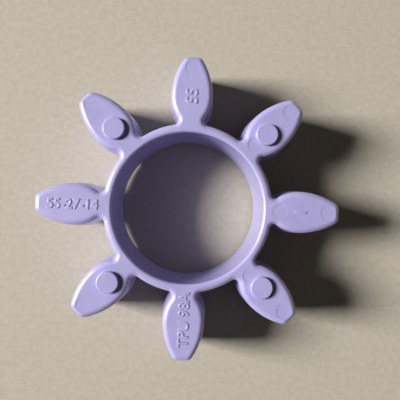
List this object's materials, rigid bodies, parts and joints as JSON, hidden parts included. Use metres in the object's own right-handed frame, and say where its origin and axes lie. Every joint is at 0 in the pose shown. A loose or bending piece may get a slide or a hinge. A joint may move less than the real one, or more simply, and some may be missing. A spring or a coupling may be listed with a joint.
{
  "type": "jaw coupling spider",
  "caption": "Elastic spider of a jaw coupling: a thin web ring with crowned teeth and round spacer pips, one soft moulding that sits between the jaws of two hubs.",
  "frame": {"origin": "centre of the bore, on the parting plane half way through the thickness", "axes": "+Z along the bore axis towards the side with the ejector marks and moulded characters; +X through the middle of tooth_1"},
  "size_m": [0.055, 0.055, 0.0156],
  "materials": {
    "elastomer": "satin"
  },
  "bodies": {
    "root": {"web_ring": "elastomer", "tooth_1": "elastomer", "tooth_2": "elastomer", "tooth_3": "elastomer", "tooth_4": "elastomer", "tooth_5": "elastomer", "tooth_6": "elastomer", "tooth_7": "elastomer", "tooth_8": "elastomer", "upper_spacer_2": "elastomer", "upper_spacer_4": "elastomer", "upper_spacer_6": "elastomer", "upper_spacer_8": "elastomer", "lower_spacer_1": "elastomer", "lower_spacer_3": "elastomer", "lower_spacer_5": "elastomer", "lower_spacer_7": "elastomer"}
  },
  "joints": []
}
